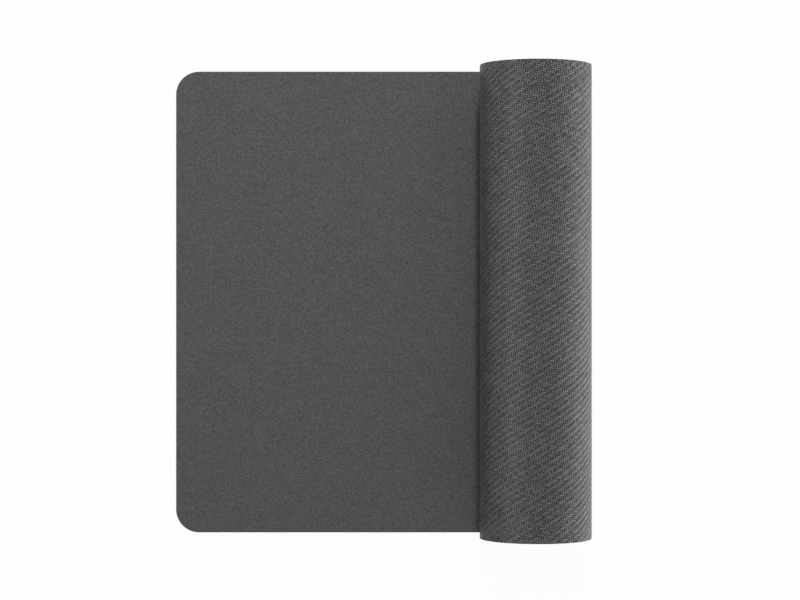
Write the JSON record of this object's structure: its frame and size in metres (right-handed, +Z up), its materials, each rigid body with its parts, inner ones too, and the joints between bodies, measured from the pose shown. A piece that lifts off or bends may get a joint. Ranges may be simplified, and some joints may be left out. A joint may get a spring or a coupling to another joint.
{
  "type": "mouse pad",
  "caption": "Cloth mouse pad lying half unrolled: a flat cloth face bonded to an embossed foam rubber base, with its far end curled into a loose roll that unrolls flat.",
  "frame": {"origin": "on the desk, under the middle of the box of the half-rolled pad", "axes": "+X along the pad from the flat stretch to the roll, +Y across the pad, +Z up from the desk"},
  "size_m": [0.2674, 0.3, 0.0732],
  "materials": {
    "cloth_face": "fine matte knit",
    "rubber_base": "matte, embossed with short crossing bars"
  },
  "bodies": {
    "flat": {"base_flat": "rubber_base", "cloth_flat": "cloth_face"},
    "strip_01": {"base_strip_01": "rubber_base", "cloth_strip_01": "cloth_face"},
    "strip_02": {"base_strip_02": "rubber_base", "cloth_strip_02": "cloth_face"},
    "strip_03": {"base_strip_03": "rubber_base", "cloth_strip_03": "cloth_face"},
    "strip_04": {"base_strip_04": "rubber_base", "cloth_strip_04": "cloth_face"},
    "strip_05": {"base_strip_05": "rubber_base", "cloth_strip_05": "cloth_face"},
    "strip_06": {"base_strip_06": "rubber_base", "cloth_strip_06": "cloth_face"},
    "strip_07": {"base_strip_07": "rubber_base", "cloth_strip_07": "cloth_face"},
    "strip_08": {"base_strip_08": "rubber_base", "cloth_strip_08": "cloth_face"},
    "strip_09": {"base_strip_09": "rubber_base", "cloth_strip_09": "cloth_face"},
    "strip_10": {"base_strip_10": "rubber_base", "cloth_strip_10": "cloth_face"},
    "strip_11": {"base_strip_11": "rubber_base", "cloth_strip_11": "cloth_face"},
    "strip_12": {"base_strip_12": "rubber_base", "cloth_strip_12": "cloth_face"},
    "strip_13": {"base_strip_13": "rubber_base", "cloth_strip_13": "cloth_face"},
    "strip_14": {"base_strip_14": "rubber_base", "cloth_strip_14": "cloth_face"},
    "strip_15": {"base_strip_15": "rubber_base", "cloth_strip_15": "cloth_face"},
    "strip_16": {"base_strip_16": "rubber_base", "cloth_strip_16": "cloth_face"},
    "strip_17": {"base_strip_17": "rubber_base", "cloth_strip_17": "cloth_face"},
    "strip_18": {"base_strip_18": "rubber_base", "cloth_strip_18": "cloth_face"},
    "strip_19": {"base_strip_19": "rubber_base", "cloth_strip_19": "cloth_face"},
    "strip_20": {"base_strip_20": "rubber_base", "cloth_strip_20": "cloth_face"},
    "strip_21": {"base_strip_21": "rubber_base", "cloth_strip_21": "cloth_face"},
    "strip_22": {"base_strip_22": "rubber_base", "cloth_strip_22": "cloth_face"},
    "strip_23": {"base_strip_23": "rubber_base", "cloth_strip_23": "cloth_face"},
    "strip_24": {"base_strip_24": "rubber_base", "cloth_strip_24": "cloth_face"},
    "strip_25": {"base_strip_25": "rubber_base", "cloth_strip_25": "cloth_face"},
    "strip_26": {"base_strip_26": "rubber_base", "cloth_strip_26": "cloth_face"},
    "strip_27": {"base_strip_27": "rubber_base", "cloth_strip_27": "cloth_face"},
    "strip_28": {"base_strip_28": "rubber_base", "cloth_strip_28": "cloth_face"}
  },
  "joints": [
    {"name": "bend_01", "type": "hinge", "parent": "flat", "child": "strip_01", "pos_m": [0.09633, 0, 0], "axis": [0, 1, 0], "range_deg": [0, 11.19]},
    {"name": "bend_02", "type": "hinge", "parent": "strip_01", "child": "strip_02", "pos_m": [0.11065, 0, 0.00283], "axis": [0, 1, 0], "range_deg": [0, 22.38]},
    {"name": "bend_03", "type": "hinge", "parent": "strip_02", "child": "strip_03", "pos_m": [0.12272, 0, 0.01084], "axis": [0, 1, 0], "range_deg": [0, 22.38]},
    {"name": "bend_04", "type": "hinge", "parent": "strip_03", "child": "strip_04", "pos_m": [0.13078, 0, 0.02275], "axis": [0, 1, 0], "range_deg": [0, 22.38]},
    {"name": "bend_05", "type": "hinge", "parent": "strip_04", "child": "strip_05", "pos_m": [0.13367, 0, 0.03672], "axis": [0, 1, 0], "range_deg": [0, 22.38]},
    {"name": "bend_06", "type": "hinge", "parent": "strip_05", "child": "strip_06", "pos_m": [0.13104, 0, 0.05064], "axis": [0, 1, 0], "range_deg": [0, 22.38]},
    {"name": "bend_07", "type": "hinge", "parent": "strip_06", "child": "strip_07", "pos_m": [0.12338, 0, 0.06241], "axis": [0, 1, 0], "range_deg": [0, 22.38]},
    {"name": "bend_08", "type": "hinge", "parent": "strip_07", "child": "strip_08", "pos_m": [0.11189, 0, 0.07033], "axis": [0, 1, 0], "range_deg": [0, 22.38]},
    {"name": "bend_09", "type": "hinge", "parent": "strip_08", "child": "strip_09", "pos_m": [0.09837, 0, 0.07324], "axis": [0, 1, 0], "range_deg": [0, 22.38]},
    {"name": "bend_10", "type": "hinge", "parent": "strip_09", "child": "strip_10", "pos_m": [0.08486, 0, 0.07082], "axis": [0, 1, 0], "range_deg": [0, 22.38]},
    {"name": "bend_11", "type": "hinge", "parent": "strip_10", "child": "strip_11", "pos_m": [0.07338, 0, 0.06348], "axis": [0, 1, 0], "range_deg": [0, 22.38]},
    {"name": "bend_12", "type": "hinge", "parent": "strip_11", "child": "strip_12", "pos_m": [0.06562, 0, 0.05242], "axis": [0, 1, 0], "range_deg": [0, 22.38]},
    {"name": "bend_13", "type": "hinge", "parent": "strip_12", "child": "strip_13", "pos_m": [0.06268, 0, 0.03935], "axis": [0, 1, 0], "range_deg": [0, 22.38]},
    {"name": "bend_14", "type": "hinge", "parent": "strip_13", "child": "strip_14", "pos_m": [0.06492, 0, 0.02624], "axis": [0, 1, 0], "range_deg": [0, 22.38]},
    {"name": "bend_15", "type": "hinge", "parent": "strip_14", "child": "strip_15", "pos_m": [0.07193, 0, 0.01507], "axis": [0, 1, 0], "range_deg": [0, 22.38]},
    {"name": "bend_16", "type": "hinge", "parent": "strip_15", "child": "strip_16", "pos_m": [0.08257, 0, 0.00747], "axis": [0, 1, 0], "range_deg": [0, 22.38]},
    {"name": "bend_17", "type": "hinge", "parent": "strip_16", "child": "strip_17", "pos_m": [0.09519, 0, 0.00452], "axis": [0, 1, 0], "range_deg": [0, 22.38]},
    {"name": "bend_18", "type": "hinge", "parent": "strip_17", "child": "strip_18", "pos_m": [0.10789, 0, 0.00658], "axis": [0, 1, 0], "range_deg": [0, 22.38]},
    {"name": "bend_19", "type": "hinge", "parent": "strip_18", "child": "strip_19", "pos_m": [0.11875, 0, 0.01326], "axis": [0, 1, 0], "range_deg": [0, 22.38]},
    {"name": "bend_20", "type": "hinge", "parent": "strip_19", "child": "strip_20", "pos_m": [0.12618, 0, 0.02348], "axis": [0, 1, 0], "range_deg": [0, 22.38]},
    {"name": "bend_21", "type": "hinge", "parent": "strip_20", "child": "strip_21", "pos_m": [0.12914, 0, 0.03566], "axis": [0, 1, 0], "range_deg": [0, 22.38]},
    {"name": "bend_22", "type": "hinge", "parent": "strip_21", "child": "strip_22", "pos_m": [0.12726, 0, 0.04794], "axis": [0, 1, 0], "range_deg": [0, 22.38]},
    {"name": "bend_23", "type": "hinge", "parent": "strip_22", "child": "strip_23", "pos_m": [0.12089, 0, 0.05849], "axis": [0, 1, 0], "range_deg": [0, 22.38]},
    {"name": "bend_24", "type": "hinge", "parent": "strip_23", "child": "strip_24", "pos_m": [0.11108, 0, 0.06575], "axis": [0, 1, 0], "range_deg": [0, 22.38]},
    {"name": "bend_25", "type": "hinge", "parent": "strip_24", "child": "strip_25", "pos_m": [0.09935, 0, 0.06871], "axis": [0, 1, 0], "range_deg": [0, 22.38]},
    {"name": "bend_26", "type": "hinge", "parent": "strip_25", "child": "strip_26", "pos_m": [0.08748, 0, 0.06699], "axis": [0, 1, 0], "range_deg": [0, 22.38]},
    {"name": "bend_27", "type": "hinge", "parent": "strip_26", "child": "strip_27", "pos_m": [0.07726, 0, 0.06094], "axis": [0, 1, 0], "range_deg": [0, 22.38]},
    {"name": "bend_28", "type": "hinge", "parent": "strip_27", "child": "strip_28", "pos_m": [0.07017, 0, 0.05154], "axis": [0, 1, 0], "range_deg": [0, 22.38]}
  ],
  "couplings": [
    {"joint": "bend_02", "follows": "bend_01", "ratio": 2},
    {"joint": "bend_03", "follows": "bend_01", "ratio": 2},
    {"joint": "bend_04", "follows": "bend_01", "ratio": 2},
    {"joint": "bend_05", "follows": "bend_01", "ratio": 2},
    {"joint": "bend_06", "follows": "bend_01", "ratio": 2},
    {"joint": "bend_07", "follows": "bend_01", "ratio": 2},
    {"joint": "bend_08", "follows": "bend_01", "ratio": 2},
    {"joint": "bend_09", "follows": "bend_01", "ratio": 2},
    {"joint": "bend_10", "follows": "bend_01", "ratio": 2},
    {"joint": "bend_11", "follows": "bend_01", "ratio": 2},
    {"joint": "bend_12", "follows": "bend_01", "ratio": 2},
    {"joint": "bend_13", "follows": "bend_01", "ratio": 2},
    {"joint": "bend_14", "follows": "bend_01", "ratio": 2},
    {"joint": "bend_15", "follows": "bend_01", "ratio": 2},
    {"joint": "bend_16", "follows": "bend_01", "ratio": 2},
    {"joint": "bend_17", "follows": "bend_01", "ratio": 2},
    {"joint": "bend_18", "follows": "bend_01", "ratio": 2},
    {"joint": "bend_19", "follows": "bend_01", "ratio": 2},
    {"joint": "bend_20", "follows": "bend_01", "ratio": 2},
    {"joint": "bend_21", "follows": "bend_01", "ratio": 2},
    {"joint": "bend_22", "follows": "bend_01", "ratio": 2},
    {"joint": "bend_23", "follows": "bend_01", "ratio": 2},
    {"joint": "bend_24", "follows": "bend_01", "ratio": 2},
    {"joint": "bend_25", "follows": "bend_01", "ratio": 2},
    {"joint": "bend_26", "follows": "bend_01", "ratio": 2},
    {"joint": "bend_27", "follows": "bend_01", "ratio": 2},
    {"joint": "bend_28", "follows": "bend_01", "ratio": 2}
  ]
}
